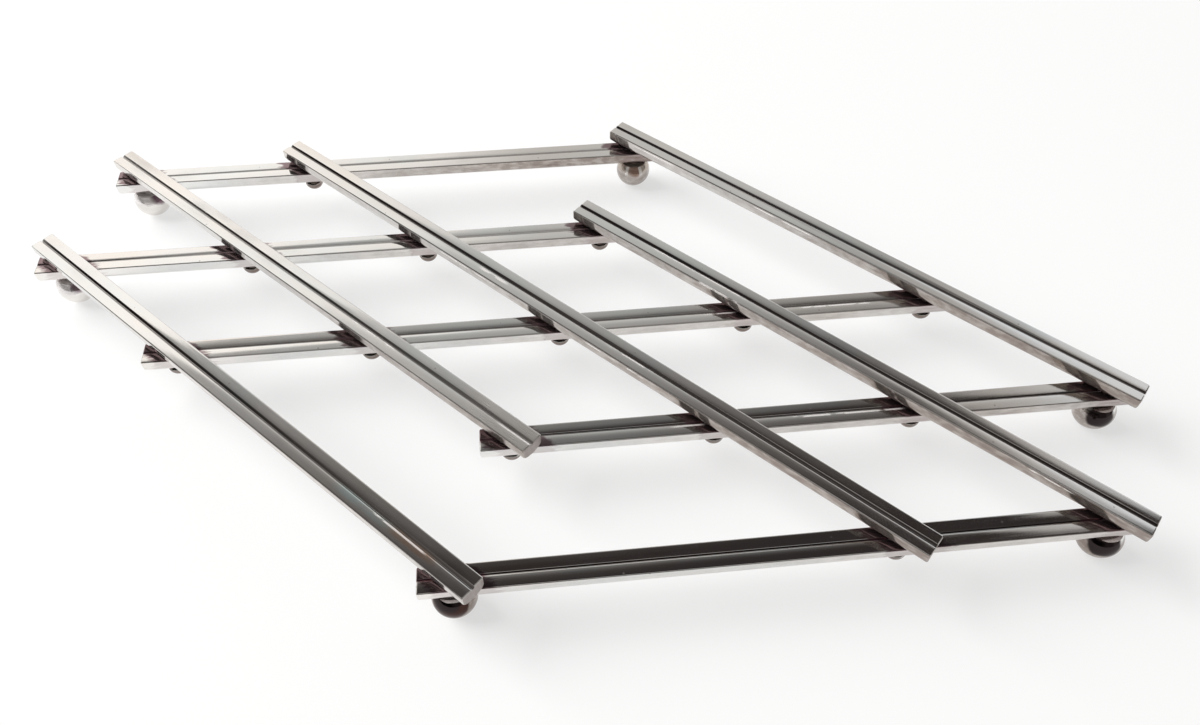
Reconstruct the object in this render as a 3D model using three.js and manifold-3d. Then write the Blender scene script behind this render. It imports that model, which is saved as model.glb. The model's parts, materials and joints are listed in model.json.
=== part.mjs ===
// Expandable trivet in silver plate, as a three.js model.
//
// Ten like bars lie in two layers of five. A pin through every crossing makes the two layers a
// lattice of equal parallelograms, which opens and shuts as one. Every pin is held in a blind hole
// of its upper bar and turns in a through hole of its lower bar. Under the lower bar a pin ends in
// a small domed head, or at the six outer corners in a ball foot.
//
// Millimetres, +Z up. The origin is on the table, straight below the middle pivot. The lower bars
// run along X and are numbered from the back, the upper bars from the left.
import * as THREE from 'three';
import { mergeVertices } from 'three/addons/utils/BufferGeometryUtils.js';
import Module from 'manifold-3d';

const wasm = await Module();
wasm.setup();

// Lattice
const PITCH = 50; // between neighbouring pivots, the same along every bar
const OPENING_ANGLE = 44.5; // degrees between the two layers, as the trivet stands
const MIDDLE_ROW = 3; // every bar crosses the middle bar of the other layer
// First and last pivot row that bars 1 to 5 reach. Both layers are alike.
const BAR_REACH = [
  [2, 5],
  [1, 4],
  [1, 5],
  [2, 5],
  [1, 4],
];

// Bars
const BAR_WIDTH = 6.5;
const BAR_HEIGHT = 4.4;
const BAR_OVERHANG = 7.4; // bar end past its last pivot
const EDGE_BEVEL = 0.3; // along both top edges
const END_ROUND_RADIUS = 0.4; // round both ends
const END_STEPS = 2;
const GROOVE_WIDTH = 1.3; // a smooth dip along the middle of the top
const GROOVE_DEPTH = 0.3;
const GROOVE_STEPS = 6;
const LOWER_CORNER_RADIUS = 1.9; // along both lower edges
const UNDERSIDE_CROWN_HEIGHT = 0.3; // how far the underside swells between its corners
const SECTION_STEPS = 4; // facets of the crown, and half of those of a lower corner
const LAYER_GAP = 0.3; // between the lower bars' tops and the upper bars' undersides

// Pins
const SHANK_DIAMETER = 3;
const SHANK_TIP_BEVEL = 0.3;
const SHANK_TIP_GAP = 0.3; // between the shank and the end of its blind hole
const BLIND_ROOF_THICKNESS = 1.2; // metal left between a blind hole and the groove above it
const HELD_CLEARANCE = 0.15; // round the shank in the upper bar
const RUNNING_CLEARANCE = 0.2; // round the shank in the lower bar
const SEAT_GAP = 0.3; // between a lower bar and the head or foot below it
const BORE_SIDES = 16;

// Domed pin heads
const HEAD_DIAMETER = 5.4;
const HEAD_RIM_HEIGHT = 0.4; // straight edge above the dome
const HEAD_DOME_HEIGHT = 2.6;
const HEAD_SIDES = 16;
const HEAD_STEPS = 4;

// Ball feet
const FOOT_DIAMETER = 10.5;
const FOOT_SEAT_DIAMETER = 7.6; // flat on top, under the lower bar
const FOOT_PAD_DIAMETER = 2.4; // flat that stands on the table
const FOOT_SIDES = 24;
const FOOT_STEPS = 10;

const BAR_FINISH = { color: 0xc6c2bb, roughness: 0.16, metalness: 1 };
const HEAD_FINISH = { color: 0xb3aca3, roughness: 0.24, metalness: 1 };
const FOOT_FINISH = { color: 0xbdb7ae, roughness: 0.14, metalness: 1 };

// Heights above the table
const FOOT_RADIUS = FOOT_DIAMETER / 2;
const FOOT_PAD_TURN = Math.asin(FOOT_PAD_DIAMETER / FOOT_DIAMETER);
const FOOT_SEAT_TURN = Math.PI - Math.asin(FOOT_SEAT_DIAMETER / FOOT_DIAMETER);
const FOOT_CENTRE_Z = FOOT_RADIUS * Math.cos(FOOT_PAD_TURN);
const SEAT_Z = FOOT_CENTRE_Z - FOOT_RADIUS * Math.cos(FOOT_SEAT_TURN);
const LOWER_BAR_Z = SEAT_Z + SEAT_GAP;
const UPPER_BAR_Z = LOWER_BAR_Z + BAR_HEIGHT + LAYER_GAP;
const BLIND_HOLE_DEPTH = BAR_HEIGHT - GROOVE_DEPTH - BLIND_ROOF_THICKNESS;
const SHANK_TOP_Z = UPPER_BAR_Z + BLIND_HOLE_DEPTH - SHANK_TIP_GAP;

const SHANK_RADIUS = SHANK_DIAMETER / 2;
const CUTTER_OVERSHOOT = 1; // a cutter passes this far beyond the surface that it opens
const MERGE_DISTANCE = 1e-4; // corners of a mesh closer than this are one corner

// Rows of the lattice

const ROWS = BAR_REACH.map((reach, index) => index + 1);

function reaches(bar, row) {
  const [first, last] = BAR_REACH[bar - 1];
  return first <= row && row <= last;
}

function crosses(upper, lower) {
  return reaches(upper, lower) && reaches(lower, upper);
}

// A ball foot stands where two bars end, if one of them is an outermost bar.
function hasFoot(upper, lower) {
  const bothEnd = BAR_REACH[upper - 1].includes(lower) && BAR_REACH[lower - 1].includes(upper);
  const outermost = [ROWS[0], ROWS.at(-1)];
  return bothEnd && (outermost.includes(upper) || outermost.includes(lower));
}

function alongBar(row) {
  return (row - MIDDLE_ROW) * PITCH;
}

// Solids

function toSolid(geometry) {
  const bare = geometry.clone();
  bare.deleteAttribute('normal');
  bare.deleteAttribute('uv');
  const merged = mergeVertices(bare, MERGE_DISTANCE);
  const mesh = new wasm.Mesh({
    numProp: 3,
    vertProperties: new Float32Array(merged.attributes.position.array),
    triVerts: new Uint32Array(merged.index.array),
  });
  return new wasm.Manifold(mesh);
}

function toGeometry(solid) {
  const mesh = solid.getMesh();
  const geometry = new THREE.BufferGeometry();
  geometry.setAttribute('position', new THREE.BufferAttribute(mesh.vertProperties, 3));
  geometry.setIndex(new THREE.BufferAttribute(mesh.triVerts, 1));
  geometry.computeVertexNormals();
  return geometry;
}

function namedMesh(name, geometry, finish) {
  const mesh = new THREE.Mesh(geometry, new THREE.MeshStandardMaterial(finish));
  mesh.name = name;
  return mesh;
}

// A turned piece standing along Z, from its profile of [radius, height] points, bottom to top.
function turned(profile, sides) {
  const points = profile.map(([radius, height]) => new THREE.Vector2(radius, height));
  return new THREE.LatheGeometry(points, sides).rotateX(Math.PI / 2);
}

// Bars

// The section across a bar: two flat lands with a smooth groove between them, bevelled top edges,
// straight sides, rounded lower corners and a slightly swelling underside. The groove is one wave
// of a cosine, so that it runs out into the lands without an edge.
function barSection() {
  const half = BAR_WIDTH / 2;
  const corner = half - LOWER_CORNER_RADIUS;
  const cornerZ = UNDERSIDE_CROWN_HEIGHT + LOWER_CORNER_RADIUS;
  const section = new THREE.Shape();
  section.moveTo(half, cornerZ);
  section.lineTo(half, BAR_HEIGHT - EDGE_BEVEL);
  section.lineTo(half - EDGE_BEVEL, BAR_HEIGHT);
  for (let step = 0; step <= GROOVE_STEPS; step += 1) {
    const share = step / GROOVE_STEPS;
    const dip = (GROOVE_DEPTH / 2) * (1 - Math.cos(2 * Math.PI * share));
    section.lineTo(GROOVE_WIDTH * (0.5 - share), BAR_HEIGHT - dip);
  }
  section.lineTo(EDGE_BEVEL - half, BAR_HEIGHT);
  section.lineTo(-half, BAR_HEIGHT - EDGE_BEVEL);
  section.lineTo(-half, cornerZ);
  section.absarc(-corner, cornerZ, LOWER_CORNER_RADIUS, Math.PI, 1.5 * Math.PI, false);
  section.quadraticCurveTo(0, -UNDERSIDE_CROWN_HEIGHT, corner, UNDERSIDE_CROWN_HEIGHT);
  section.absarc(corner, cornerZ, LOWER_CORNER_RADIUS, 1.5 * Math.PI, 2 * Math.PI, false);
  return section;
}

// A bar along X before drilling, with its middle pivot over the origin and its underside at 0. It is
// drawn in a little at both ends, where its cut edges are filed round.
function barBlank(bar) {
  const [first, last] = BAR_REACH[bar - 1];
  const start = alongBar(first) - BAR_OVERHANG;
  const length = alongBar(last) + BAR_OVERHANG - start;
  const geometry = new THREE.ExtrudeGeometry(barSection(), {
    depth: length - 2 * END_ROUND_RADIUS,
    curveSegments: SECTION_STEPS,
    bevelThickness: END_ROUND_RADIUS,
    bevelSize: END_ROUND_RADIUS,
    bevelOffset: -END_ROUND_RADIUS,
    bevelSegments: END_STEPS,
  });
  const acrossToY = new THREE.Vector3(0, 1, 0);
  const upToZ = new THREE.Vector3(0, 0, 1);
  const alongToX = new THREE.Vector3(1, 0, 0);
  geometry.applyMatrix4(new THREE.Matrix4().makeBasis(acrossToY, upToZ, alongToX));
  return geometry.translate(start + END_ROUND_RADIUS, 0, 0);
}

// A cutter whose flat sides all stay clear of a shank that turns inside it.
function boreCutter(x, top, clearance) {
  const bottom = -CUTTER_OVERSHOOT;
  const radius = (SHANK_RADIUS + clearance) / Math.cos(Math.PI / BORE_SIDES);
  const geometry = new THREE.CylinderGeometry(radius, radius, top - bottom, BORE_SIDES);
  geometry.rotateX(Math.PI / 2);
  return geometry.translate(x, 0, (bottom + top) / 2);
}

function drilledBar(bar, rows, top, clearance) {
  let solid = toSolid(barBlank(bar));
  for (const row of rows) {
    solid = solid.subtract(toSolid(boreCutter(alongBar(row), top, clearance)));
  }
  return toGeometry(solid);
}

function lowerBar(lower) {
  const rows = ROWS.filter((upper) => crosses(upper, lower));
  const geometry = drilledBar(lower, rows, BAR_HEIGHT + CUTTER_OVERSHOOT, RUNNING_CLEARANCE);
  return namedMesh(`lower_bar_${lower}`, geometry, BAR_FINISH);
}

function upperBar(upper) {
  const rows = ROWS.filter((lower) => crosses(upper, lower));
  const geometry = drilledBar(upper, rows, BLIND_HOLE_DEPTH, HELD_CLEARANCE);
  return namedMesh(`upper_bar_${upper}`, geometry, BAR_FINISH);
}

// Pins

// The upper part of a pin's profile, from its seat up through both bars to its bevelled tip.
function shankProfile() {
  return [
    [SHANK_RADIUS, SEAT_Z],
    [SHANK_RADIUS, SHANK_TOP_Z - SHANK_TIP_BEVEL],
    [SHANK_RADIUS - SHANK_TIP_BEVEL, SHANK_TOP_Z],
    [0, SHANK_TOP_Z],
  ];
}

function domedPin(name) {
  const rimZ = SEAT_Z - HEAD_RIM_HEIGHT;
  const profile = [[0, rimZ - HEAD_DOME_HEIGHT]];
  for (let step = 1; step <= HEAD_STEPS; step += 1) {
    const turn = (Math.PI / 2) * (step / HEAD_STEPS);
    const radius = (HEAD_DIAMETER / 2) * Math.sin(turn);
    profile.push([radius, rimZ - HEAD_DOME_HEIGHT * Math.cos(turn)]);
  }
  profile.push([HEAD_DIAMETER / 2, SEAT_Z], ...shankProfile());
  return namedMesh(name, turned(profile, HEAD_SIDES), HEAD_FINISH);
}

function ballFoot(name) {
  const profile = [[0, 0]];
  for (let step = 0; step <= FOOT_STEPS; step += 1) {
    const turn = FOOT_PAD_TURN + (FOOT_SEAT_TURN - FOOT_PAD_TURN) * (step / FOOT_STEPS);
    profile.push([FOOT_RADIUS * Math.sin(turn), FOOT_CENTRE_Z - FOOT_RADIUS * Math.cos(turn)]);
  }
  profile.push(...shankProfile());
  return namedMesh(name, turned(profile, FOOT_SIDES), FOOT_FINISH);
}

function pinAt(upper, lower) {
  const place = `upper_${upper}_lower_${lower}`;
  if (hasFoot(upper, lower)) {
    return ballFoot(`ball_foot_${place}`);
  }
  return domedPin(`domed_pin_${place}`);
}

// Assembly

const trivet = new THREE.Group();
const opening = THREE.MathUtils.degToRad(OPENING_ANGLE);

// The lower bars lie side by side along the line of the middle upper bar.
for (const lower of ROWS) {
  const bar = lowerBar(lower);
  const shift = alongBar(lower);
  bar.position.set(shift * Math.cos(opening), -shift * Math.sin(opening), LOWER_BAR_Z);
  trivet.add(bar);
}

// An upper bar carries its pins, and all of them turn together about the middle lower bar.
for (const upper of ROWS) {
  const carrier = new THREE.Group();
  carrier.position.x = alongBar(upper);
  carrier.rotation.z = -opening;
  const bar = upperBar(upper);
  bar.position.z = UPPER_BAR_Z;
  carrier.add(bar);
  for (const lower of ROWS.filter((row) => crosses(upper, row))) {
    const pin = pinAt(upper, lower);
    pin.position.x = alongBar(lower);
    carrier.add(pin);
  }
  trivet.add(carrier);
}

export default trivet;
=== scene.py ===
import json
import math

import bmesh
import bpy
from mathutils import Matrix, Quaternion, Vector


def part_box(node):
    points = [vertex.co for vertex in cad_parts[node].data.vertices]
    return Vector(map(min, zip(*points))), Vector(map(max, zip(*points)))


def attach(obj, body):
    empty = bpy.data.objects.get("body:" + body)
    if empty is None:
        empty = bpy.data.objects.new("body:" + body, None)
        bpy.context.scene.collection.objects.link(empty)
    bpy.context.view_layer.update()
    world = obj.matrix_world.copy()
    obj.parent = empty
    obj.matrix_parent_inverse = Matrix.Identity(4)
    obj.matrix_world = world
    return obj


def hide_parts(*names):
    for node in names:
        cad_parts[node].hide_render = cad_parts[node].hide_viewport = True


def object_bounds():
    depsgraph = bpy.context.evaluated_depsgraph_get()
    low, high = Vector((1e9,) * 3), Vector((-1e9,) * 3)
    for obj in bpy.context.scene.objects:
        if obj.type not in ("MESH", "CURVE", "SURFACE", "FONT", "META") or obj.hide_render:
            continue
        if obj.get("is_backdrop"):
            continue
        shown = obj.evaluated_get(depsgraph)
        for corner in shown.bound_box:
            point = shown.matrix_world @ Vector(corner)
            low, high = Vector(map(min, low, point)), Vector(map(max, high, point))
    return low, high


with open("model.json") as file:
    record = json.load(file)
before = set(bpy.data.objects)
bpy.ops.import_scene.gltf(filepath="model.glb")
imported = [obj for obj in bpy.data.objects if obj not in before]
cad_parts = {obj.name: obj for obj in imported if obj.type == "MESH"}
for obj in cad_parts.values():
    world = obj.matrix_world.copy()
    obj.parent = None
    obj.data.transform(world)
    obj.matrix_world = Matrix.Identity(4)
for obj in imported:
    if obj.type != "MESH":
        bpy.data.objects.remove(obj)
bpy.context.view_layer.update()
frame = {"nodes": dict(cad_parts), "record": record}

scene = bpy.context.scene
scene.view_settings.view_transform = "Standard"

# Camera. It stands about 25 cm away, in front of the trivet and a little to the left, and looks
# steeply down past its middle. The short lens gives the strong perspective.
CAMERA_PLACE = Vector((-0.0063, -0.1594, 0.1985))
CAMERA_AIM = Vector((0.0106, -0.0037, 0.0))
CAMERA_ROLL = math.radians(0.55)
CAMERA_LENS = 27.62  # millimetres, like the sensor
CAMERA_SENSOR = 36
NEAREST_SEEN = 0.01

camera = bpy.data.objects.new("camera", bpy.data.cameras.new("camera"))
scene.collection.objects.link(camera)
scene.camera = camera
camera.data.sensor_width = CAMERA_SENSOR
camera.data.lens = CAMERA_LENS
camera.data.clip_start = NEAREST_SEEN
camera.location = CAMERA_PLACE
camera.rotation_mode = "QUATERNION"
level_view = (CAMERA_AIM - CAMERA_PLACE).to_track_quat("-Z", "Y")
camera.rotation_quaternion = level_view @ Quaternion((0, 0, 1), CAMERA_ROLL)


# Table and light. A plain pale table in a room that is bright behind and to the left, grey to the
# right, and dark in front and overhead but for a light straight above. The bars are mirrors, so
# this room is what shows in them. A soft box behind and to the left lights the table.
def add_node(tree, kind, **settings):
    node = tree.nodes.new(kind)
    for name, value in settings.items():
        setattr(node, name, value)
    return node


def feed(tree, socket, value):
    if isinstance(value, bpy.types.NodeSocket):
        tree.links.new(value, socket)
    else:
        socket.default_value = value


def maths(tree, operation, *values):
    node = add_node(tree, "ShaderNodeMath", operation=operation)
    for socket, value in zip(node.inputs, values):
        feed(tree, socket, value)
    return node.outputs[0]


def all_of(tree, first, *shares):
    """The share where several things, each with a share of its own, come together."""
    for share in shares:
        first = maths(tree, "MULTIPLY", first, share)
    return first


def fade(tree, value, start, end, low=0.0, high=1.0):
    """Goes smoothly from low to high as the value goes from start to end."""
    node = add_node(tree, "ShaderNodeMapRange", interpolation_type="SMOOTHSTEP")
    for name, setting in zip(("Value", "From Min", "From Max", "To Min", "To Max"),
                             (value, start, end, low, high)):
        feed(tree, node.inputs[name], setting)
    return node.outputs["Result"]


def blend_colours(tree, share, first, second):
    node = add_node(tree, "ShaderNodeMix", data_type="RGBA")
    feed(tree, node.inputs["Factor"], share)
    feed(tree, node.inputs[6], first)
    feed(tree, node.inputs[7], second)
    return node.outputs[2]


room = bpy.data.worlds.new("room")
scene.world = room
room.use_nodes = True
air = room.node_tree
air.nodes.clear()

# The room is given by direction alone: its high parts by how far one goes rightward and backward
# for each step up, and its low parts by X, Y and Z. Each edge below is a pair, where that part of
# the room begins to show and where it is full.
LEAST_STEP_UP = 0.02
direction = add_node(air, "ShaderNodeSeparateXYZ")
air.links.new(add_node(air, "ShaderNodeTexCoord").outputs["Generated"], direction.inputs[0])
way_x, way_y, way_z = direction.outputs
step_up = maths(air, "MAXIMUM", way_z, LEAST_STEP_UP)
rightward = maths(air, "DIVIDE", way_x, step_up)
backward = maths(air, "DIVIDE", way_y, step_up)


def slanted(measure, across, slope):
    return maths(air, "MULTIPLY_ADD", across, slope, measure)


WALL_COLOUR = (0.540, 0.535, 0.520, 1)
SHADE_COLOUR = (0.030, 0.025, 0.024, 1)
SHADE_BACK_EDGE = (1.12, 0.42)
SHADE_BACK_SLOPE = -0.2
SHADE_LEFT_EDGE = (-4.5, -3.0)
SHADE_LEFT_SLOPE = -1.2
shade_back = slanted(backward, maths(air, "MAXIMUM", rightward, 0.0), SHADE_BACK_SLOPE)
shade_left = slanted(rightward, maths(air, "MINIMUM", backward, 0.0), SHADE_LEFT_SLOPE)
shade = all_of(air, fade(air, shade_back, *SHADE_BACK_EDGE), fade(air, shade_left, *SHADE_LEFT_EDGE))
colour = blend_colours(air, shade, WALL_COLOUR, SHADE_COLOUR)

# The window's sill is sharpest at its left end and gets softer towards the right.
WINDOW_COLOUR = (1.07, 1.035, 0.995, 1)
WINDOW_SIDE_COLOUR = (0.86, 0.835, 0.80, 1)
WINDOW_SIDE_EDGE = (-0.1, -0.6)
WINDOW_RIGHT_EDGE = (0.05, -0.2)
WINDOW_LEFT_EDGE = (-1.25, -1.1)
SILL_SLOPE = -0.38
SILL_START = 1.036
SILL_FULL = 1.167
SILL_SOFTENING = 0.2
SILL_SHARP_END = -0.5
softening = maths(air, "MAXIMUM", rightward, SILL_SHARP_END)
sill_full = maths(air, "MULTIPLY_ADD", softening, SILL_SOFTENING, SILL_FULL)
window = all_of(
    air,
    fade(air, slanted(backward, rightward, SILL_SLOPE), SILL_START, sill_full),
    fade(air, rightward, *WINDOW_RIGHT_EDGE),
    fade(air, rightward, *WINDOW_LEFT_EDGE),
)
window_side = fade(air, rightward, *WINDOW_SIDE_EDGE)
window_colour = blend_colours(air, window_side, WINDOW_SIDE_COLOUR, WINDOW_COLOUR)
colour = blend_colours(air, window, colour, window_colour)

RIGHT_WALL_COLOUR = (0.40, 0.385, 0.37, 1)
RIGHT_WALL_LEFT_EDGE = (0.66, 0.693)
RIGHT_WALL_SLOPE = 0.17
RIGHT_WALL_FRONT_EDGE = (0.45, 0.51)
RIGHT_WINDOW_COLOUR = (0.67, 0.69, 0.71, 1)
RIGHT_WINDOW_EDGE = (0.6, 0.8)
right_wall = all_of(
    air,
    fade(air, slanted(rightward, backward, RIGHT_WALL_SLOPE), *RIGHT_WALL_LEFT_EDGE),
    fade(air, backward, *RIGHT_WALL_FRONT_EDGE),
)
right_window = fade(air, rightward, *RIGHT_WINDOW_EDGE)
right_colour = blend_colours(air, right_window, RIGHT_WALL_COLOUR, RIGHT_WINDOW_COLOUR)
colour = blend_colours(air, right_wall, colour, right_colour)

HORIZON_COLOUR = (0.93, 0.93, 0.92, 1)
HORIZON_TOP_EDGE = (0.2, 0.09)
HORIZON_FRONT_EDGE = (-0.1, 0.15)
horizon = all_of(air, fade(air, way_z, *HORIZON_TOP_EDGE), fade(air, way_y, *HORIZON_FRONT_EDGE))
colour = blend_colours(air, horizon, colour, HORIZON_COLOUR)

CEILING_COLOUR = (0.075, 0.072, 0.07, 1)
CEILING_BACK_EDGE = (0.22, 0.0)
CEILING_FRONT_EDGE = (-1.1, -0.7)
ceiling = all_of(
    air,
    fade(air, backward, *CEILING_BACK_EDGE),
    fade(air, backward, *CEILING_FRONT_EDGE),
    shade,
)
colour = blend_colours(air, ceiling, colour, CEILING_COLOUR)

CEILING_LIGHT_COLOUR = (0.42, 0.41, 0.40, 1)
CEILING_LIGHT_SIDE_EDGES = (0.45, 0.33)
CEILING_LIGHT_END_EDGES = (0.26, 0.18)
ceiling_light = all_of(
    air,
    fade(air, maths(air, "ABSOLUTE", rightward), *CEILING_LIGHT_SIDE_EDGES),
    fade(air, maths(air, "ABSOLUTE", backward), *CEILING_LIGHT_END_EDGES),
)
colour = blend_colours(air, ceiling_light, colour, CEILING_LIGHT_COLOUR)

# The front wall leaves out a dark corner, low down at its left end.
FRONT_WALL_COLOUR = (0.30, 0.285, 0.27, 1)
FRONT_WALL_TOP_EDGE = (0.76, 0.64)
FRONT_WALL_BACK_EDGE = (0.0, -0.2)
CORNER_RIGHT_EDGE = (-0.35, 0.1)
CORNER_TOP_EDGE = (0.38, 0.48)
outside_corner = maths(
    air, "MAXIMUM", fade(air, way_x, *CORNER_RIGHT_EDGE), fade(air, way_z, *CORNER_TOP_EDGE)
)
front_wall = all_of(
    air,
    fade(air, way_z, *FRONT_WALL_TOP_EDGE),
    fade(air, way_y, *FRONT_WALL_BACK_EDGE),
    outside_corner,
    shade,
)
colour = blend_colours(air, front_wall, colour, FRONT_WALL_COLOUR)

DOORWAY_COLOUR = (0.66, 0.65, 0.63, 1)
DOORWAY_LEFT_EDGE = (0.52, 0.58)
DOORWAY_RIGHT_EDGE = (0.84, 0.78)
DOORWAY_BACK_EDGE = (0.0, -0.1)
DOORWAY_TOP_EDGE = (0.62, 0.55)
doorway = all_of(
    air,
    fade(air, way_x, *DOORWAY_LEFT_EDGE),
    fade(air, way_x, *DOORWAY_RIGHT_EDGE),
    fade(air, way_y, *DOORWAY_BACK_EDGE),
    fade(air, way_z, *DOORWAY_TOP_EDGE),
)
colour = blend_colours(air, doorway, colour, DOORWAY_COLOUR)

BACKDROP_COLOUR = (1.0, 1.0, 1.0, 1)  # what the camera itself sees behind the table
seen_directly = add_node(air, "ShaderNodeLightPath").outputs["Is Camera Ray"]
colour = blend_colours(air, seen_directly, colour, BACKDROP_COLOUR)
glow = add_node(air, "ShaderNodeBackground")
feed(air, glow.inputs["Color"], colour)
air.links.new(glow.outputs[0], add_node(air, "ShaderNodeOutputWorld").inputs[0])

BOX_PLACE = Vector((-2.6, 1.1, 1.7))
BOX_SIDE = 2.6
BOX_POWER = 200.0
box = bpy.data.objects.new("soft_box", bpy.data.lights.new("soft_box", "AREA"))
scene.collection.objects.link(box)
box.data.shape = "SQUARE"
box.data.size = BOX_SIDE
box.data.energy = BOX_POWER
box.location = BOX_PLACE
box.rotation_mode = "QUATERNION"
box.rotation_quaternion = (-BOX_PLACE).to_track_quat("-Z", "Y")
box.visible_glossy = False  # the bars mirror the room's own windows

TABLE_COLOUR = (0.93, 0.93, 0.925, 1)
TABLE_ROUGHNESS = 0.8
TABLE_SHINE = 0.1
TABLE_HALF = 6.0
TABLE_WHITE = (1.0, 1.0, 1.0, 1)  # what the camera and the mirrors see of it, in part
WHITE_SHARE = 0.6
WHITE_FADE = (0.5, 1.8)  # from and to how far out the table fades into the white behind it

table_mesh = bpy.data.meshes.new("table")
table_corners = [(x * TABLE_HALF, y * TABLE_HALF, 0) for x, y in ((-1, -1), (1, -1), (1, 1), (-1, 1))]
table_mesh.from_pydata(table_corners, [], [(0, 1, 2, 3)])
table = bpy.data.objects.new("table", table_mesh)
scene.collection.objects.link(table)
table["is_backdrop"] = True
table_paint = bpy.data.materials.new("table_paint")
table_paint.use_nodes = True
paint = table_paint.node_tree
paper = paint.nodes["Principled BSDF"]
paper.inputs["Base Color"].default_value = TABLE_COLOUR
paper.inputs["Roughness"].default_value = TABLE_ROUGHNESS
paper.inputs["Specular IOR Level"].default_value = TABLE_SHINE
ray = add_node(paint, "ShaderNodeLightPath")
seen = maths(paint, "MAXIMUM", ray.outputs["Is Camera Ray"], ray.outputs["Is Glossy Ray"])
seen = maths(paint, "MAXIMUM", seen, ray.outputs["Is Transmission Ray"])
whiteness = add_node(paint, "ShaderNodeEmission")
whiteness.inputs["Color"].default_value = TABLE_WHITE
whitened = add_node(paint, "ShaderNodeMixShader")
far_out = add_node(paint, "ShaderNodeVectorMath", operation="LENGTH")
paint.links.new(add_node(paint, "ShaderNodeTexCoord").outputs["Object"], far_out.inputs[0])
white_share = fade(paint, far_out.outputs["Value"], *WHITE_FADE, WHITE_SHARE, 1.0)
paint.links.new(all_of(paint, seen, white_share), whitened.inputs[0])
paint.links.new(paper.outputs[0], whitened.inputs[1])
paint.links.new(whiteness.outputs[0], whitened.inputs[2])
paint.links.new(whitened.outputs[0], paint.nodes["Material Output"].inputs["Surface"])
table_mesh.materials.append(table_paint)

# Ball feet. Six turned balls under the outer corners of the lattice, each in one piece with the
# pin above it, and silver-plated. A flat is turned on top, where the lower bar sits, and another
# below, where the ball stands on the table.
MM = 0.001
FOOT_PAD = 1.2 * MM
FOOT_SEAT = 3.8 * MM
SHANK_RADIUS = 1.5 * MM
SHANK_TIP_BEVEL = 0.3 * MM
EDGE_ROUND = 0.12 * MM
FOOT_SIDES = 72
FOOT_STEPS = 36
TURNED_SHARP = math.radians(35)  # edges of turned pieces that are steeper than this stay sharp

PINS = [name for name in sorted(frame["nodes"]) if "_upper_" in name]
BODY_OF_NODE = {
    node: body for body, nodes in frame["record"]["behaviour"]["bodies"].items() for node in nodes
}


def pivot_of(pin):
    low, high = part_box(pin)
    return Vector(((low.x + high.x) / 2, (low.y + high.y) / 2, 0))


def pin_at(upper, lower):
    return next(pin for pin in PINS if pin.endswith(f"_upper_{upper}_lower_{lower}"))


def turned_mesh(name, profile, sides):
    """A closed turned mesh from (radius, height) points, which start and end on the axis."""
    shape = bmesh.new()
    rings = []
    for radius, up in profile:
        if radius == 0:
            rings.append([shape.verts.new((0, 0, up))])
            continue
        turns = [2 * math.pi * step / sides for step in range(sides)]
        rings.append([shape.verts.new((radius * math.cos(a), radius * math.sin(a), up)) for a in turns])
    for below, above in zip(rings, rings[1:]):
        for step in range(sides):
            after = (step + 1) % sides
            if len(below) == 1:
                shape.faces.new((below[0], above[after], above[step]))
            elif len(above) == 1:
                shape.faces.new((below[step], below[after], above[0]))
            else:
                shape.faces.new((below[step], below[after], above[after], above[step]))
    bmesh.ops.recalc_face_normals(shape, faces=shape.faces)
    mesh = bpy.data.meshes.new(name)
    shape.to_mesh(mesh)
    shape.free()
    mesh.shade_smooth()
    mesh.set_sharp_from_angle(angle=TURNED_SHARP)
    return mesh


def shank_points(seat, tip):
    return [
        (SHANK_RADIUS, seat),
        (SHANK_RADIUS, tip - SHANK_TIP_BEVEL),
        (SHANK_RADIUS - SHANK_TIP_BEVEL, tip),
        (0, tip),
    ]


SILVER = (0.90, 0.88, 0.855, 1)
COOL_SILVER = (0.84, 0.875, 0.875, 1)
WARM_SILVER = (0.90, 0.845, 0.79, 1)
HAZE = (0.80, 0.76, 0.70, 1)
EVEN_TARNISH_AND_SHADE = (0.34, 0.29, 0.26, 1)
BROWN_TARNISH = (0.19, 0.14, 0.12, 1)
BLACK_TARNISH_AND_SHADE = (0.075, 0.052, 0.048, 1)
POLISH = 0.05  # roughness of the bare plate

# Marks on the plate. A noise is given by its cells to the metre, what these are multiplied by along
# X, Y and Z, its detail and its roughness. An edge is where a mark begins and where it is full.
SMEAR_NOISE = (55, (0.35, 1, 1), 3, 0.6)
SMEAR_EDGE = (0.38, 0.66)
SCRATCH_NOISE = (9000, (0.02, 1, 1), 3, 0.7)
SCRATCH_EDGE = (0.45, 0.75)
SCRATCH_ROUGHNESS = 0.07
SCRATCH_DEPTH = 0.0012 * MM
TINT_NOISE = (75, (0.3, 1, 1), 3)
WARM_EDGE = (0.5, 0.68)
COOL_EDGE = (0.5, 0.34)
TINT_SHARE = 0.6
CLOUD_NOISE = (140, (0.5, 1, 1), 4, 0.6)
CLOUD_EDGE = (0.52, 0.8)
CLOUD_SHARE = 0.1
SPECKS_TO_THE_METRE = 230
SPECK_EDGE = (0.07, 0.04)
SPECK_SHARE = 0.35
WAVE_DENSITY = (0.45, 1, 1)
WAVE_DEPTH = 0.03 * MM
UNDERSIDE_EDGE = (-0.3, -0.9)
UNDERSIDE_SHARE = 0.7
SIDE_EDGE = (0.75, 0.35)
MOTTLING_NOISE = (650, (0.5, 1, 1), 3)
MOTTLING_EDGE = (0.35, 0.65)
MOTTLING_SHARES = (0.8, 1.1)
STREAK_NOISE = (260, (0.25, 1, 2.5), 3, 0.6)
STREAK_EDGE = (0.40, 0.68)


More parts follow.
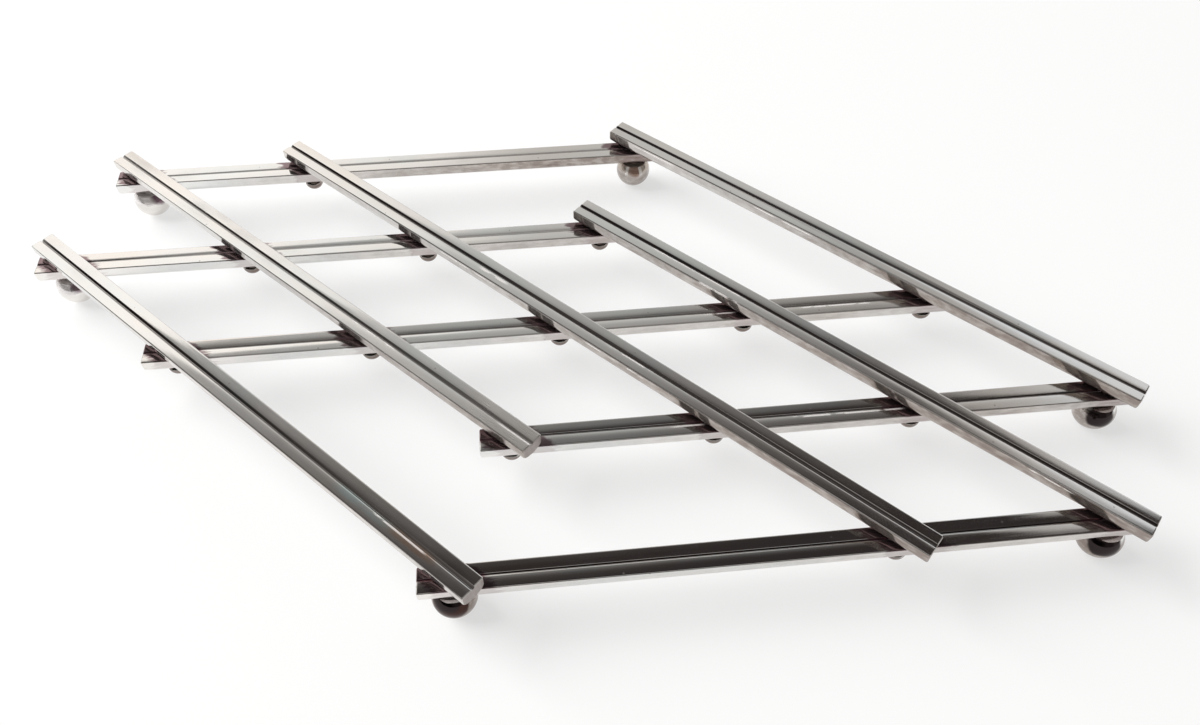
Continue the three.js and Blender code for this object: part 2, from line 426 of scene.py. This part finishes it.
class SilverPlate:
    """Silver plate in its piece's own axes: a mirror, on which tarnish, haze, marks, and painted shade,
    reflections and highlights are laid.
    """

    def __init__(self, name):
        self.finish = bpy.data.materials.new(name)
        self.finish.use_nodes = True
        self.tree = self.finish.node_tree
        self.spot = add_node(self.tree, "ShaderNodeTexCoord")
        self.facing = self.parts_of("Normal")
        self.place = self.parts_of("Object")
        self.colour = SILVER
        self.film = 0.0
        self.roughness = POLISH
        self.relief = None

    def parts_of(self, output):
        parts = add_node(self.tree, "ShaderNodeSeparateXYZ")
        self.tree.links.new(self.spot.outputs[output], parts.inputs[0])
        return parts.outputs

    def noise(self, cells, density, detail=2.0, roughness=0.5):
        mapping = add_node(self.tree, "ShaderNodeMapping")
        self.tree.links.new(self.spot.outputs["Object"], mapping.inputs["Vector"])
        mapping.inputs["Scale"].default_value = density
        cloud = add_node(self.tree, "ShaderNodeTexNoise")
        self.tree.links.new(mapping.outputs[0], cloud.inputs["Vector"])
        cloud.inputs["Scale"].default_value = cells
        cloud.inputs["Detail"].default_value = detail
        cloud.inputs["Roughness"].default_value = roughness
        return cloud.outputs["Fac"]

    def fade(self, value, start, end, low=0.0, high=1.0):
        return fade(self.tree, value, start, end, low, high)

    def all_of(self, first, *shares):
        return all_of(self.tree, first, *shares)

    def towards(self, direction):
        """How squarely a place faces that way, from -1 to 1."""
        dot = add_node(self.tree, "ShaderNodeVectorMath", operation="DOT_PRODUCT")
        self.tree.links.new(self.spot.outputs["Normal"], dot.inputs[0])
        dot.inputs[1].default_value = Vector(direction).normalized()
        return dot.outputs["Value"]

    def cover(self, share, colour, film=0.0, roughness=None):
        """Lays a colour on by share. film is how far it hides the metal and its mirror."""
        self.colour = blend_colours(self.tree, share, self.colour, colour)
        self.film = self.blend_values(share, self.film, film)
        if roughness is not None:
            self.roughness = self.blend_values(share, self.roughness, roughness)

    def blend_values(self, share, first, second):
        node = add_node(self.tree, "ShaderNodeMix", data_type="FLOAT")
        feed(self.tree, node.inputs[0], share)
        feed(self.tree, node.inputs[2], first)
        feed(self.tree, node.inputs[3], second)
        return node.outputs[0]

    def emboss(self, height, depth, strength=1.0):
        bump = add_node(self.tree, "ShaderNodeBump")
        feed(self.tree, bump.inputs["Strength"], strength)
        bump.inputs["Distance"].default_value = depth
        feed(self.tree, bump.inputs["Height"], height)
        if self.relief:
            self.tree.links.new(self.relief, bump.inputs["Normal"])
        self.relief = bump.outputs[0]

    def wear(self, dulled, wave_length, hazed=0.0):
        """Tints, smears, brown clouds and specks, scratches, and waves from rolling and buffing.

        Where it is smeared the plate is rougher by dulled, and hidden by haze by the share hazed.
        """
        smears = self.fade(self.noise(*SMEAR_NOISE), *SMEAR_EDGE)
        scratches = self.noise(*SCRATCH_NOISE)
        tint = self.noise(*TINT_NOISE)
        self.cover(self.fade(tint, *WARM_EDGE, 0.0, TINT_SHARE), WARM_SILVER)
        self.cover(self.fade(tint, *COOL_EDGE, 0.0, TINT_SHARE), COOL_SILVER)
        self.cover(self.all_of(smears, hazed), HAZE, film=1.0)
        clouds = self.fade(self.noise(*CLOUD_NOISE), *CLOUD_EDGE, 0.0, CLOUD_SHARE)
        self.cover(clouds, BROWN_TARNISH)
        specks = add_node(self.tree, "ShaderNodeTexVoronoi", feature="F1")
        self.tree.links.new(self.spot.outputs["Object"], specks.inputs["Vector"])
        specks.inputs["Scale"].default_value = SPECKS_TO_THE_METRE
        specked = self.fade(specks.outputs["Distance"], *SPECK_EDGE, 0.0, SPECK_SHARE)
        self.cover(specked, BROWN_TARNISH, film=0.3)
        scratched = self.fade(scratches, *SCRATCH_EDGE, 0.0, SCRATCH_ROUGHNESS)
        self.roughness = maths(self.tree, "ADD", self.roughness, scratched)
        self.roughness = maths(self.tree, "MULTIPLY_ADD", smears, dulled, self.roughness)
        self.emboss(self.noise(1 / wave_length, WAVE_DENSITY, detail=1), WAVE_DEPTH)
        self.emboss(scratches, SCRATCH_DEPTH)

    def tarnish_and_shade_below(self, share):
        # Black tarnish on whatever faces down, which is also painted shade: it darkens undersides that
        # would otherwise mirror the bright table.
        below = self.fade(self.facing["Z"], *UNDERSIDE_EDGE, 0.0, UNDERSIDE_SHARE)
        self.cover(self.all_of(below, share), BLACK_TARNISH_AND_SHADE, film=0.2)

    def tarnish_and_shade_sides(self, share, streaked):
        """Even tarnish on whatever faces sideways, mottled, and streaked with brown. It is also painted
        shade: it darkens sides that would otherwise mirror the bright table.
        """
        side = self.fade(self.facing["Z"], *SIDE_EDGE)
        mottling = self.fade(self.noise(*MOTTLING_NOISE), *MOTTLING_EDGE, *MOTTLING_SHARES)
        self.cover(self.all_of(side, mottling, share), EVEN_TARNISH_AND_SHADE, film=0.12)
        streaks = self.fade(self.noise(*STREAK_NOISE), *STREAK_EDGE)
        self.cover(self.all_of(side, streaks, streaked), BROWN_TARNISH, film=0.3, roughness=0.17)

    def done(self):
        surface = self.tree.nodes["Principled BSDF"]
        feed(self.tree, surface.inputs["Base Color"], self.colour)
        feed(self.tree, surface.inputs["Metallic"], maths(self.tree, "SUBTRACT", 1.0, self.film))
        feed(self.tree, surface.inputs["Roughness"], self.roughness)
        self.tree.links.new(self.relief, surface.inputs["Normal"])
        return self.finish


RED_BROWN = (0.05, 0.024, 0.019, 1)
BROWN_BLACK = (0.035, 0.026, 0.026, 1)
WARM_BROWN = (0.30, 0.20, 0.155, 1)
PURPLE_BROWN = (0.20, 0.13, 0.16, 1)
PAINTED_PALE_LIGHT = (0.90, 0.875, 0.87, 1)
PAINTED_BEIGE_LIGHT = (0.56, 0.49, 0.43, 1)
PAINTED_BRIGHT_STREAK = (0.95, 0.92, 0.88, 1)
# Share of tarnish and painted shade on the sides, then the painted patches of reflection and light,
# pale where a ball is lit and dark where it mirrors dark. Each has the way that it faces, how
# squarely a place must face that way to be covered, its colour and its film.
FEET_PAINTED_LIGHT = {
    "1_lower_2": (0.1, [
        ((0, 0, 1), 0.2, PAINTED_PALE_LIGHT, 0.6),
        ((0.44, -0.65, 0.6), 0.93, PURPLE_BROWN, 0.1),
    ]),
    "2_lower_1": (0.15, [
        ((0, 0, 1), 0.3, PAINTED_PALE_LIGHT, 0.5),
        ((0.62, -0.5, 0.6), 0.9, PURPLE_BROWN, 0.3),
    ]),
    "5_lower_1": (0.75, [
        ((0, 0, 1), 0.35, PAINTED_BEIGE_LIGHT, 0.4),
        ((-0.08, -0.75, 0.6), 0.9, WARM_BROWN, 0.5),
    ]),
    "1_lower_5": (1.0, [
        ((-0.2, -0.75, 0.6), 0.62, RED_BROWN, 0.12),
        ((-0.3, -0.6, 0.75), 0.8, BROWN_BLACK, 0.06),
    ]),
    "4_lower_5": (1.0, [((-0.36, -0.84, 0.62), 0.74, BROWN_BLACK, 0.06)]),
    "5_lower_4": (0.8, [((-0.24, -0.91, 0.51), 0.78, BROWN_BLACK, 0.06)]),
}
FOOT_DULLED = 0.04
FOOT_WAVES = 8 * MM
FOOT_STREAKED = 0.45  # of the tarnish on its sides
PAINTED_PATCH_NOISE = (220, (1, 1, 0.6), 3)
PAINTED_PATCH_RAGGED = 0.3
PAINTED_PATCH_EDGE = (0.09, 0.21)  # beyond the painted patch's reach, because the ragged noise adds 0.15 on average
# Upright painted reflections, bright streaks, in degrees rightward from the front.
FEET_PAINTED_STREAKS = {"5_lower_1": (-33, 22)}
LINE_EDGE = (0.13, 0.06)  # by how far a place faces off the line
LINE_RISE = 0.7
LINE_END = (0.88, 0.95)  # by how squarely it faces the line's middle
LINE_SHARE = 0.8


def foot_plate(foot):
    place = foot.removeprefix("ball_foot_upper_")
    sides, painted_patches = FEET_PAINTED_LIGHT[place]
    plate = SilverPlate(foot + "_plate")
    plate.wear(FOOT_DULLED, FOOT_WAVES)
    plate.tarnish_and_shade_below(sides)
    plate.tarnish_and_shade_sides(sides, FOOT_STREAKED * sides)
    cloud = plate.noise(*PAINTED_PATCH_NOISE)
    for faces, reach, patch_colour, film in painted_patches:
        ragged = maths(plate.tree, "MULTIPLY_ADD", cloud, PAINTED_PATCH_RAGGED, plate.towards(faces))
        start, full = [reach + beyond for beyond in PAINTED_PATCH_EDGE]
        # A painted patch of reflection and light, by the way the place faces.
        plate.cover(plate.fade(ragged, start, full), patch_colour, film)
    for turn in FEET_PAINTED_STREAKS.get(place, ()):
        sine, cosine = math.sin(math.radians(turn)), math.cos(math.radians(turn))
        off_line = maths(plate.tree, "ABSOLUTE", plate.towards((cosine, sine, 0)))
        along_line = plate.towards((sine, -cosine, LINE_RISE))
        line = plate.all_of(plate.fade(off_line, *LINE_EDGE), plate.fade(along_line, *LINE_END))
        # A painted reflection: a bright upright streak.
        plate.cover(plate.all_of(line, LINE_SHARE), PAINTED_BRIGHT_STREAK, film=0.7, roughness=0.3)
    return plate.done()


def place_pin(name, mesh, finish):
    mesh.name = name + "_polished"
    mesh.materials.append(finish)
    piece = bpy.data.objects.new(name + "_polished", mesh)
    scene.collection.objects.link(piece)
    piece.location = pivot_of(name)
    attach(piece, BODY_OF_NODE[name])
    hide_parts(name)


foot_low, foot_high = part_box(pin_at(5, 4))
foot_radius = (foot_high.x - foot_low.x) / 2
foot_centre = math.sqrt(foot_radius**2 - FOOT_PAD**2)
foot_seat = foot_centre + math.sqrt(foot_radius**2 - FOOT_SEAT**2)
first_turn = math.asin(FOOT_PAD / foot_radius)
last_turn = math.pi - math.asin(FOOT_SEAT / foot_radius)
foot_profile = [(0, 0)]
for step in range(FOOT_STEPS + 1):
    turn = first_turn + (last_turn - first_turn) * step / FOOT_STEPS
    foot_profile.append((foot_radius * math.sin(turn), foot_centre - foot_radius * math.cos(turn)))
foot_profile.append((FOOT_SEAT - EDGE_ROUND, foot_seat))
foot_profile += shank_points(foot_seat, foot_high.z)

for foot in [pin for pin in PINS if pin.startswith("ball_foot")]:
    place_pin(foot, turned_mesh(foot, foot_profile, FOOT_SIDES), foot_plate(foot))

# Lower bars. Five rolled strips with a groove along the top, cut square and silver-plated. Each is
# drilled through at its crossings and turns on the pins there, on top of their heads.
GROOVE_STEPS = 12
LAND_FALL = 0.1 * MM  # how much lower the top would lie at its middle than at its outer edge
LAND_CURVE = 4  # the power by which it falls
LAND_STEPS = 8
TOP_ROUND = 0.3 * MM
TOP_STEPS = 5
CORNER_RADIUS = 1.9 * MM
CORNER_STEPS = 9
CROWN = 0.3 * MM
CROWN_STEPS = 5
END_ROUND = 0.4 * MM
END_STEPS = 4
RING_SPACING = 5 * MM
BORE_RADIUS = 1.7 * MM
BORE_SIDES = 32
DRILL_SPARE = 1 * MM  # how far the drill reaches beyond the bar
BAR_SHARP = math.radians(32)  # edges of bars that are steeper than this stay sharp
FLAT_LAND_WEIGHT = 100

bar_low, bar_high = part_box("lower_bar_3")
BAR_WIDTH = bar_high.y - bar_low.y
BAR_HEIGHT = bar_high.z - bar_low.z


def half_section(groove_half, groove_depth):
    """Points (across, up) of half a bar's section, from the groove's middle to the underside's.

    The groove is one wave of a cosine, and each land curves down a little towards it.
    """
    land_edge = BAR_WIDTH / 2 - TOP_ROUND
    land_width = land_edge - groove_half
    places = [groove_half * step / GROOVE_STEPS for step in range(GROOVE_STEPS + 1)]
    places += [groove_half + land_width * step / LAND_STEPS for step in range(1, LAND_STEPS)]
    points = []
    for across in places:
        dip = groove_depth / 2 * (1 + math.cos(math.pi * min(across / groove_half, 1)))
        points.append((across, BAR_HEIGHT - dip - LAND_FALL * (1 - across / land_edge) ** LAND_CURVE))
    for step in range(TOP_STEPS + 1):
        turn = math.pi / 2 * step / TOP_STEPS
        across = land_edge + TOP_ROUND * math.sin(turn)
        points.append((across, BAR_HEIGHT - TOP_ROUND * (1 - math.cos(turn))))
    for step in range(CORNER_STEPS + 1):
        turn = math.pi / 2 * step / CORNER_STEPS
        across = BAR_WIDTH / 2 - CORNER_RADIUS * (1 - math.cos(turn))
        points.append((across, CROWN + CORNER_RADIUS * (1 - math.sin(turn))))
    flat = BAR_WIDTH / 2 - CORNER_RADIUS
    for step in range(1, CROWN_STEPS + 1):
        share = 1 - step / CROWN_STEPS
        points.append((flat * share, CROWN * share**2))
    return points


def bar_section(groove):
    right = half_section(*groove)
    left = [(-across, up) for across, up in reversed(right[1:-1])]
    return right + left


def bar_blank(name, start, end, groove, lean_start=0.0, lean_end=0.0):
    """The bar before drilling, along X from start to end, with its underside at 0.

    groove is half its groove's width, and its depth. The leans are how far its top tilts across at
    either end, because no strip comes out quite true.
    """
    section = bar_section(groove)
    shape = bmesh.new()

    def ring(along, drawn_in=0.0):
        """The section at that X. It shrinks by the end's rounding where drawn_in is 1."""
        share = (along - start) / (end - start)
        lean = math.tan(lean_start + (lean_end - lean_start) * share)
        middle = BAR_HEIGHT / 2
        verts = []
        for across, up in section:
            leaning = (across * lean - abs(lean) * BAR_WIDTH / 2) * (up / BAR_HEIGHT)
            across *= 1 - drawn_in * END_ROUND / (BAR_WIDTH / 2)
            up = middle + (up + leaning - middle) * (1 - drawn_in * END_ROUND / middle)
            verts.append(shape.verts.new((along, across, up)))
        return verts

    turns = [math.pi / 2 * step / END_STEPS for step in range(END_STEPS + 1)]
    rounding = [(END_ROUND * (1 - math.cos(turn)), 1 - math.sin(turn)) for turn in turns]
    count = max(1, round((end - start) / RING_SPACING))
    rings = [ring(start + inward, drawn_in) for inward, drawn_in in rounding]
    rings += [ring(start + (end - start) * step / count) for step in range(1, count)]
    rings += [ring(end - inward, drawn_in) for inward, drawn_in in reversed(rounding)]
    for one, two in zip(rings, rings[1:]):
        for step in range(len(section)):
            after = (step + 1) % len(section)
            shape.faces.new((one[step], one[after], two[after], two[step]))
    shape.faces.new(rings[0])
    shape.faces.new(rings[-1])
    bmesh.ops.recalc_face_normals(shape, faces=shape.faces)
    mesh = bpy.data.meshes.new(name)
    shape.to_mesh(mesh)
    shape.free()
    return mesh


def drill(piece, places, radius, top):
    """Drills the piece from below at places along its X axis, up to top."""
    bottom = -DRILL_SPARE
    shape = bmesh.new()
    for along in places:
        bmesh.ops.create_cone(
            shape,
            cap_ends=True,
            segments=BORE_SIDES,
            radius1=radius,
            radius2=radius,
            depth=top - bottom,
            matrix=Matrix.Translation((along, 0, (bottom + top) / 2)),
        )
    drills = bpy.data.objects.new("drills", bpy.data.meshes.new("drills"))
    shape.to_mesh(drills.data)
    shape.free()
    scene.collection.objects.link(drills)
    drills.matrix_world = piece.matrix_world
    cut = piece.modifiers.new("drill", "BOOLEAN")
    cut.operation = "DIFFERENCE"
    cut.solver = "EXACT"
    cut.object = drills
    bpy.context.view_layer.update()
    drilled = bpy.data.meshes.new_from_object(piece.evaluated_get(bpy.context.evaluated_depsgraph_get()))
    piece.modifiers.clear()
    piece.data = drilled
    bpy.data.objects.remove(drills)


def finish_bar(piece, node, finish):
    """Smooths all but the sharp edges, keeps the lands flat, and hands the bar its place."""
    piece.data.name = piece.name
    piece.data.shade_smooth()
    piece.data.set_sharp_from_angle(angle=BAR_SHARP)
    flat = piece.modifiers.new("flat_lands", "WEIGHTED_NORMAL")
    flat.keep_sharp = True
    flat.weight = FLAT_LAND_WEIGHT
    piece.data.materials.clear()
    piece.data.materials.append(finish)
    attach(piece, BODY_OF_NODE[node])
    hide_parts(node)


BAR_WAVES = 12 * MM
BAR_STREAKED = 0.45  # of the tarnish on its sides
UPWARD_EDGE = (0.2, 0.7)

# Tarnish in the groove, which is also painted shade, most of it on the far wall that faces the front and
# mirrors the dark there: how much of its half width is as dark as it gets, where its far wall
# begins and is full, and how much of the far wall's tarnish the near wall has.
GROOVE_DARK = 0.6
FAR_WALL_EDGE = (-0.2 * MM, 0.06 * MM)
NEAR_WALL_SHARE = 0.2

# Painted shade and reflection of the crossing bar beside a pivot, by the distance from the middle of
# the bar that crosses there, to which the ragged noise adds 4.5 mm on average.
PIVOT_SHADE = (0.155, 0.06, 0.082, 1)
PIVOT_SHADE_EDGE = (13 * MM, 11 * MM)
PIVOT_SHADE_NOISE = (800, (0.3, 1, 1), 4)
PIVOT_SHADE_RAGGED = 9 * MM
PIVOT_SHADE_SHARE = 0.8
PIVOT_SHADE_ON_SIDES = 0.3
upper_run = (pivot_of(pin_at(3, 5)) - pivot_of(pin_at(3, 1))).normalized()
CROSSING_SLOPE = upper_run.x / -upper_run.y

# Stretches that have taken on a colour, on the near land beside the groove.
RUST_TINT = (0.62, 0.37, 0.23, 1)
TEAL_TINT = (0.68, 0.81, 0.80, 1)
COLOURED_LAND = (-1.6 * MM, -0.5 * MM, 0.9 * MM)  # from, to and run-out across the bar
COLOURED_RUN_OUT = 6 * MM
COLOURED_NOISE = (300, (0.4, 1, 1), 3)
COLOURED_EDGE = (0.35, 0.6)
COLOURED_LEAST = 0.4
COLOURED_SHARE = 0.8

# Stretches with a painted highlight, pale streaks where the plate glints: from and to, across from
# the middle of the bar's section and up from its top, in millimetres.
PAINTED_HIGHLIGHT = (1.0, 0.96, 0.94, 1)
HIGHLIGHT_PLACES = {
    "groove": (-0.85, -0.5, -0.4, 0.1),
    "land": (-1.5, -0.9, -0.4, 0.1),
    "edge": (-3.4, -3.0, -0.45, 0.1),
    "flank": (-3.4, -3.1, -0.85, -0.55),
}
HIGHLIGHT_RUN_OUT = 2.5 * MM
HIGHLIGHT_RUN_OUT_ACROSS = 0.15 * MM
HIGHLIGHT_RUN_OUT_UP = 0.1 * MM
HIGHLIGHT_NOISE = (700, (0.35, 1, 1), 2)
HIGHLIGHT_EDGE = (0.36, 0.5)
HIGHLIGHT_SHARE = 0.8

SAWN_DARK = (0.33, 0.29, 0.275, 1)
SAWN_LIGHT = (0.54, 0.49, 0.465, 1)
SAWN_EDGE = (0.75, 0.95)
SAW_NOISE = (2600, (1, 1, 0.12), 3, 0.7)
SAW_DEPTH = 0.02 * MM


def bar_plate(name, length, groove, sides, below, groove_darkening, dulled, hazed=0.0, shaded_pivots=(), highlighted=(),
              coloured=()):
    """A bar's plate. From X = length[0] to length[1] the tarnish and painted shade on its sides and
    below change.

    Tarnish lies in the groove by the share groove_darkening, most of it on the far wall, and is
    painted shade there too; the sawn ends are matt. Painted shade and reflection of the crossing bar
    lie beside the pivots at shaded_pivots, places along X. Each stretch in highlighted, from one X
    to another, gets a painted highlight at one of the HIGHLIGHT_PLACES, and each one in coloured
    has taken on a colour beside the groove.
    """
    plate = SilverPlate(name)
    plate.wear(dulled, BAR_WAVES, hazed)
    across = maths(plate.tree, "ABSOLUTE", plate.place["Y"])
    groove_half = groove[0]
    in_groove = plate.fade(across, groove_half, GROOVE_DARK * groove_half, 0.0, groove_darkening)
    far_wall = plate.fade(plate.place["Y"], *FAR_WALL_EDGE, NEAR_WALL_SHARE, 1.0)
    upward = plate.fade(plate.facing["Z"], *UPWARD_EDGE)
    # Tarnish and painted shade in the groove, darkest on its far wall.
    plate.cover(plate.all_of(in_groove, far_wall, upward), BLACK_TARNISH_AND_SHADE)
    plate.tarnish_and_shade_below(plate.fade(plate.place["X"], *length, *below))
    side_share = plate.fade(plate.place["X"], *length, *sides)
    plate.tarnish_and_shade_sides(side_share, plate.all_of(side_share, BAR_STREAKED))

    skewed = maths(plate.tree, "MULTIPLY_ADD", plate.place["Y"], CROSSING_SLOPE, plate.place["X"])
    ragged = maths(plate.tree, "MULTIPLY", plate.noise(*PIVOT_SHADE_NOISE), PIVOT_SHADE_RAGGED)
    pivot_shade_by_facing = plate.fade(plate.facing["Z"], *UPWARD_EDGE, PIVOT_SHADE_ON_SIDES, 1.0)
    for pivot in shaded_pivots:
        apart = maths(plate.tree, "ABSOLUTE", maths(plate.tree, "SUBTRACT", skewed, pivot))
        pivot_shade_mask = plate.fade(maths(plate.tree, "ADD", apart, ragged), *PIVOT_SHADE_EDGE, 0.0, PIVOT_SHADE_SHARE)
        # Painted shade and reflection of the bar that crosses at this pivot.
        plate.cover(plate.all_of(pivot_shade_mask, pivot_shade_by_facing), PIVOT_SHADE, film=0.03)

    def stretch(axis, first, last, run_out):
        return plate.all_of(
            plate.fade(plate.place[axis], first - run_out, first),
            plate.fade(plate.place[axis], last + run_out, last),
        )

    for first, last, colour in coloured:
        cloud = plate.fade(plate.noise(*COLOURED_NOISE), *COLOURED_EDGE, COLOURED_LEAST, 1.0)
        patch = plate.all_of(
            stretch("X", first, last, COLOURED_RUN_OUT),
            stretch("Y", *COLOURED_LAND),
            cloud,
            COLOURED_SHARE,
        )
        plate.cover(patch, colour, film=0.1)
    highlight_flecks = plate.fade(plate.noise(*HIGHLIGHT_NOISE), *HIGHLIGHT_EDGE)
    for first, last, place in highlighted:
        near, far, low, high = [edge * MM for edge in HIGHLIGHT_PLACES[place]]
        line = plate.all_of(
            stretch("X", first, last, HIGHLIGHT_RUN_OUT),
            stretch("Y", near, far, HIGHLIGHT_RUN_OUT_ACROSS),
            stretch("Z", BAR_HEIGHT + low, BAR_HEIGHT + high, HIGHLIGHT_RUN_OUT_UP),
        )
        # A painted highlight: a pale flecked streak that stands in for a glint.
        plate.cover(plate.all_of(line, highlight_flecks, HIGHLIGHT_SHARE), PAINTED_HIGHLIGHT, film=0.6, roughness=0.35)

    sawn = plate.fade(maths(plate.tree, "ABSOLUTE", plate.facing["X"]), *SAWN_EDGE)
    saw_marks = plate.noise(*SAW_NOISE)
    sawn_colour = blend_colours(plate.tree, saw_marks, SAWN_DARK, SAWN_LIGHT)
    plate.cover(sawn, sawn_colour, film=0.2, roughness=0.5)
    plate.emboss(saw_marks, SAW_DEPTH, strength=sawn)
    return plate.done()


LOWER_GROOVE = (0.42 * MM, 0.12 * MM)
# How dark the tarnish and painted shade in each groove is, from the bar at the back to the one in front.
LOWER_GROOVE_DARKENING = {1: 0.3, 2: 0.2, 3: 0.7, 4: 0.85, 5: 1.0}
LOWER_DULLED = 0.06
# How far the sides are tarnished and darkened with painted shade, at the left end and at the right end
# of each bar.
LOWER_SIDES = {1: (0.05, 1.0), 2: (0.0, 0.5), 3: (0.1, 0.4), 4: (0.1, 0.6), 5: (0.1, 0.35)}
# How far their undersides are tarnished and darkened with painted shade, likewise.
LOWER_BELOW = {1: (0.05, 0.5), 2: (0.05, 0.6), 3: (0.3, 0.9), 4: (0.4, 1.0), 5: (1.0, 1.0)}
# Stretches with a painted highlight, in millimetres from the left end.
LOWER_HIGHLIGHTS = {
    3: [(148, 153, "groove"), (174, 190, "groove")],
    4: [(48, 53, "groove"), (78, 103, "groove")],
}


def stretches_from(start, stretches):
    return [(start + first * MM, start + last * MM, what) for first, last, what in stretches]


for row in range(1, 6):
    node = f"lower_bar_{row}"
    low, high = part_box(node)
    pivots = [pivot_of(pin) for pin in PINS if pin.endswith(f"_lower_{row}")]
    middle = pivot_of(pin_at(3, row))
    start, end = low.x - middle.x, high.x - middle.x
    piece = bpy.data.objects.new(node + "_polished", bar_blank(node, start, end, LOWER_GROOVE))
    scene.collection.objects.link(piece)
    piece.location = (middle.x, middle.y, low.z)
    bpy.context.view_layer.update()
    places = [pivot.x - middle.x for pivot in pivots]
    drill(piece, places, BORE_RADIUS, BAR_HEIGHT + DRILL_SPARE)
    finish = bar_plate(
        node + "_plate",
        (start, end),
        LOWER_GROOVE,
        LOWER_SIDES[row],
        LOWER_BELOW[row],
        LOWER_GROOVE_DARKENING[row],
        LOWER_DULLED,
        shaded_pivots=places,
        highlighted=stretches_from(start, LOWER_HIGHLIGHTS.get(row, ())),
    )
    finish_bar(piece, node, finish)

# Domed pins. Thirteen turned pins with small domed heads, set from below at the other crossings
# and plated like the feet. Each head holds a lower bar up, and its shank is fixed in the upper bar.
HEAD_RIM = 0.4 * MM
HEAD_SIDES = 40
HEAD_STEPS = 14
HEAD_DULLED = 0.05
HEAD_WAVES = 5 * MM
HEAD_STREAKED = 0.8
head_plate = SilverPlate("pin_plate")
head_plate.wear(HEAD_DULLED, HEAD_WAVES)
# Fully tarnished and darkened with painted shade, below and on the sides.
head_plate.tarnish_and_shade_below(1.0)
head_plate.tarnish_and_shade_sides(1.0, HEAD_STREAKED)
head_finish = head_plate.done()

for pin in [pin for pin in PINS if pin.startswith("domed_pin")]:
    low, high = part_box(pin)
    head_radius = (high.x - low.x) / 2
    rim = foot_seat - HEAD_RIM
    profile = [(0, low.z)]
    for step in range(1, HEAD_STEPS + 1):
        turn = math.pi / 2 * step / HEAD_STEPS
        profile.append((head_radius * math.sin(turn), rim - (rim - low.z) * math.cos(turn)))
    profile.append((head_radius, foot_seat - EDGE_ROUND))
    profile.append((head_radius - EDGE_ROUND, foot_seat))
    profile += shank_points(foot_seat, high.z)
    place_pin(pin, turned_mesh(pin, profile, HEAD_SIDES), head_finish)

# Upper bars. Five more of the same strips, drilled from below only, so that their tops stay whole.
# A dish stands on them, and each turns with the pins that are fixed in it.
UPPER_GROOVE = (0.65 * MM, 0.3 * MM)
BLIND_RADIUS = 1.65 * MM
BLIND_SPARE = 0.3 * MM  # above a pin's tip
UPPER_LEANS = {2: (-2.0, -2.6)}  # degrees, at the back end and at the front end
# How far the sides are tarnished and darkened with painted shade, at the back end and at the front end
# of each bar.
UPPER_SIDES = {1: (0.3, 0.6), 2: (0.2, 0.9), 3: (0.35, 1.0), 4: (0.7, 1.0), 5: (0.45, 1.0)}
# Tarnish and painted shade on the undersides, the same at both ends.
UPPER_BELOW = (1.0, 1.0)
# How dark the tarnish and painted shade in each groove is, from the bar at the left to the one at the
# right.
UPPER_GROOVE_DARKENING = {1: 0.78, 2: 0.5, 3: 0.82, 4: 0.92, 5: 0.8}
# How much rougher each bar is where it is smeared, and how far haze hides it there.
UPPER_DULLED = {1: 0.05, 2: 0.3, 3: 0.08, 4: 0.08, 5: 0.05}
UPPER_HAZED = {1: 0.03, 2: 0.03, 3: 0.0, 4: 0.02, 5: 0.0}
# Stretches with a painted highlight, and two that have taken on a colour, in millimetres from the
# back end.
UPPER_HIGHLIGHTS = {
    1: [(137, 150, "groove")],
    2: [(105, 118, "groove"), (156, 164, "groove")],
    3: [(68, 86, "flank"), (82, 89, "land"), (120, 136, "flank"), (126, 137, "groove")],
    4: [(28, 56, "groove"), (45, 55, "edge"), (138, 146, "flank")],
    5: [(11, 23, "flank"), (55, 71, "flank")],
}
UPPER_COLOURED = {1: [(127, 138, TEAL_TINT), (144, 151, RUST_TINT)]}
PITCH = (pivot_of(pin_at(3, 3)) - pivot_of(pin_at(2, 3))).length
OVERHANG = (bar_high.x - bar_low.x) / 2 - 2 * PITCH  # from an end pivot to the end of the bar

for row in range(1, 6):
    node = f"upper_bar_{row}"
    low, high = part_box(node)
    pivots = [pivot_of(pin) for pin in PINS if f"_upper_{row}_" in pin]
    pivots.sort(key=lambda pivot: -pivot.y)
    middle = pivot_of(pin_at(row, 3))
    along = (pivots[-1] - pivots[0]).normalized()
    places = [(pivot - middle).dot(along) for pivot in pivots]
    start, end = places[0] - OVERHANG, places[-1] + OVERHANG
    leans = [math.radians(lean) for lean in UPPER_LEANS.get(row, (0, 0))]
    piece = bpy.data.objects.new(node + "_polished", bar_blank(node, start, end, UPPER_GROOVE, *leans))
    scene.collection.objects.link(piece)
    piece.location = (middle.x, middle.y, low.z)
    piece.rotation_euler.z = math.atan2(along.y, along.x)
    bpy.context.view_layer.update()
    blind_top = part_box(pin_at(row, 3))[1].z - low.z + BLIND_SPARE
    drill(piece, places, BLIND_RADIUS, blind_top)
    finish = bar_plate(
        node + "_plate",
        (start, end),
        UPPER_GROOVE,
        UPPER_SIDES[row],
        UPPER_BELOW,
        UPPER_GROOVE_DARKENING[row],
        UPPER_DULLED[row],
        hazed=UPPER_HAZED[row],
        highlighted=stretches_from(start, UPPER_HIGHLIGHTS[row]),
        coloured=stretches_from(start, UPPER_COLOURED.get(row, ())),
    )
    finish_bar(piece, node, finish)

low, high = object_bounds()
